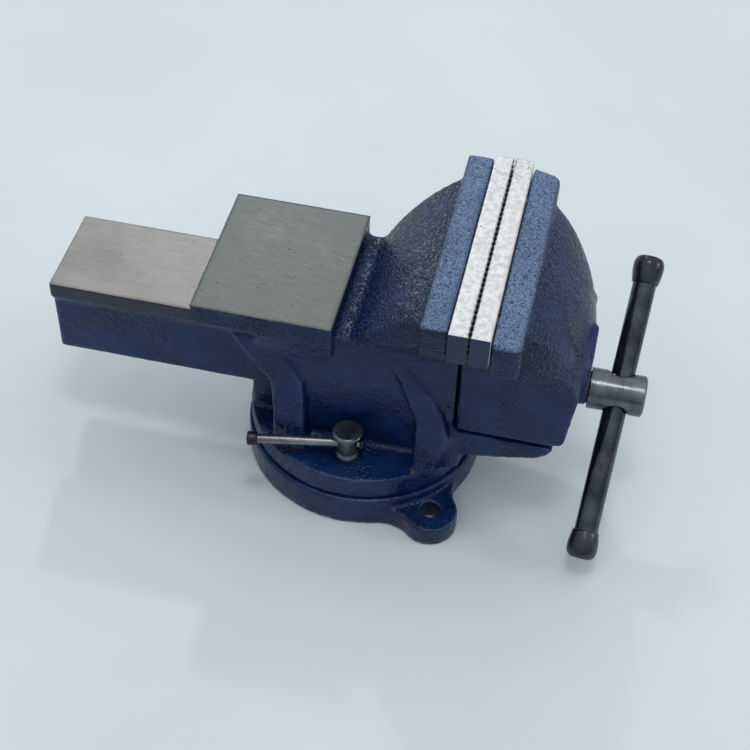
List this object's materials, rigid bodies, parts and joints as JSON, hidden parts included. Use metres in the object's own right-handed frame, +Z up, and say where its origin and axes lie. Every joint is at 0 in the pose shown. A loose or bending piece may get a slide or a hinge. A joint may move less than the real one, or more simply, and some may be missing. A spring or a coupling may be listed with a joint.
{
  "type": "bench vise",
  "caption": "Bench vise with serrated jaw plates, an anvil pad, a sliding jaw driven by a screw with a tee handle, and a round swivel base with bolting lugs and lever locks.",
  "frame": {"origin": "on the swivel axis, at the underside of the base, where the vise stands on the bench", "axes": "+X along the clamping screw towards its handle, +Y to the right of someone standing at the handle and looking at the vise, +Z up out of the anvil"},
  "size_m": [0.3513, 0.1582, 0.1774],
  "materials": {
    "blue_paint": "navy-blue gloss enamel over a sand-cast skin",
    "bright_steel": "ground steel, fine specks",
    "machined_iron": "grey cast iron, plain machined",
    "dark_steel": "blackened steel, glossy",
    "plain_steel": "turned steel, oiled",
    "spring_steel": "drawn spring wire"
  },
  "bodies": {
    "base": {"swivel_base": "blue_paint"},
    "vise_body": {"vise_body": "blue_paint", "fixed_jaw_plate": "bright_steel", "left_fixed_plate_screw": "dark_steel", "right_fixed_plate_screw": "dark_steel", "screw_nut": "machined_iron", "left_nut_bolt": "dark_steel", "right_nut_bolt": "dark_steel", "left_tee_nut": "machined_iron", "right_tee_nut": "machined_iron"},
    "moving_jaw": {"moving_jaw": "blue_paint", "moving_jaw_plate": "bright_steel", "left_moving_plate_screw": "dark_steel", "right_moving_plate_screw": "dark_steel"},
    "screw": {"clamping_screw": "plain_steel", "retaining_collar": "plain_steel", "retaining_pin": "dark_steel", "thrust_washer": "plain_steel", "take_up_spring": "spring_steel"},
    "handle": {"handle_bar": "dark_steel", "upper_handle_knob": "dark_steel", "lower_handle_knob": "dark_steel"},
    "left_lock": {"left_lock_bolt": "dark_steel"},
    "right_lock": {"right_lock_bolt": "dark_steel"},
    "left_lever": {"left_lock_lever": "plain_steel", "left_lever_knob": "dark_steel", "left_lever_cap": "dark_steel"},
    "right_lever": {"right_lock_lever": "plain_steel", "right_lever_knob": "dark_steel", "right_lever_cap": "dark_steel"}
  },
  "joints": [
    {"name": "swivel", "type": "hinge", "parent": "base", "child": "vise_body", "pos_m": [0, 0, 0], "axis": [0, 0, 1], "continuous": true},
    {"name": "jaw_slide", "type": "slide", "parent": "vise_body", "child": "moving_jaw", "axis": [1, 0, 0], "range_m": [0, 0.15]},
    {"name": "screw_turn", "type": "hinge", "parent": "moving_jaw", "child": "screw", "pos_m": [0.1328, 0, 0.0782], "axis": [1, 0, 0], "range_deg": [0, 9000]},
    {"name": "handle_slide", "type": "slide", "parent": "screw", "child": "handle", "axis": [0.0523, 0.765, 0.6419], "range_m": [-0.051, 0.0685]},
    {"name": "left_lock_turn", "type": "hinge", "parent": "vise_body", "child": "left_lock", "pos_m": [0, -0.052, 0], "axis": [0, 0, 1], "range_deg": [0, 130]},
    {"name": "right_lock_turn", "type": "hinge", "parent": "vise_body", "child": "right_lock", "pos_m": [0, 0.052, 0], "axis": [0, 0, 1], "range_deg": [0, 130]},
    {"name": "left_lever_slide", "type": "slide", "parent": "left_lock", "child": "left_lever", "axis": [-0.9857, -0.1685, 0], "range_m": [-0.0225, 0]},
    {"name": "right_lever_slide", "type": "slide", "parent": "right_lock", "child": "right_lever", "axis": [0.9857, 0.1685, 0], "range_m": [-0.015, 0]}
  ],
  "couplings": [
    {"joint": "screw_turn", "follows": "jaw_slide", "rad_per_m": 1047.2}
  ]
}
